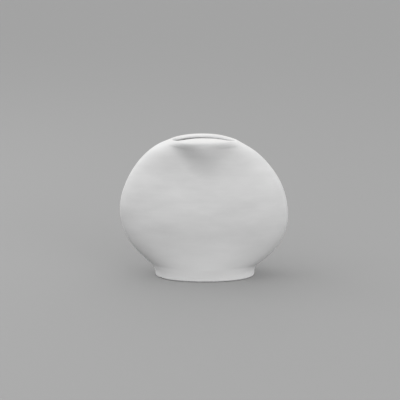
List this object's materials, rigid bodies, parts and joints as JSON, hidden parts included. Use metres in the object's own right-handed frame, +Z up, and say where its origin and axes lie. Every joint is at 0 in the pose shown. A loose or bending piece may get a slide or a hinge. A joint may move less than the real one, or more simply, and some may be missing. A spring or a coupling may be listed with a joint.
{
  "type": "disc vase",
  "caption": "Flat round white ceramic vase with a squeezed slit mouth, a rolled lip, a hollow pressed under the lip and an oval foot, for holding flower stems in water.",
  "frame": {"origin": "on the table under the vase, midway between its widest points and between its front and back", "axes": "+X to the vase's right as seen in the picture, along its width; +Y from front to back, through the thin way; +Z up"},
  "size_m": [0.17, 0.0526, 0.1445],
  "materials": {
    "glaze": "satin",
    "bare_clay": "matte"
  },
  "bodies": {
    "root": {"front_wall": "glaze", "back_wall": "glaze", "rim": "glaze", "foot_ring": "glaze", "base_slab": "bare_clay", "floor_coil": "glaze", "left_seam_coil": "glaze", "right_seam_coil": "glaze"}
  },
  "joints": []
}
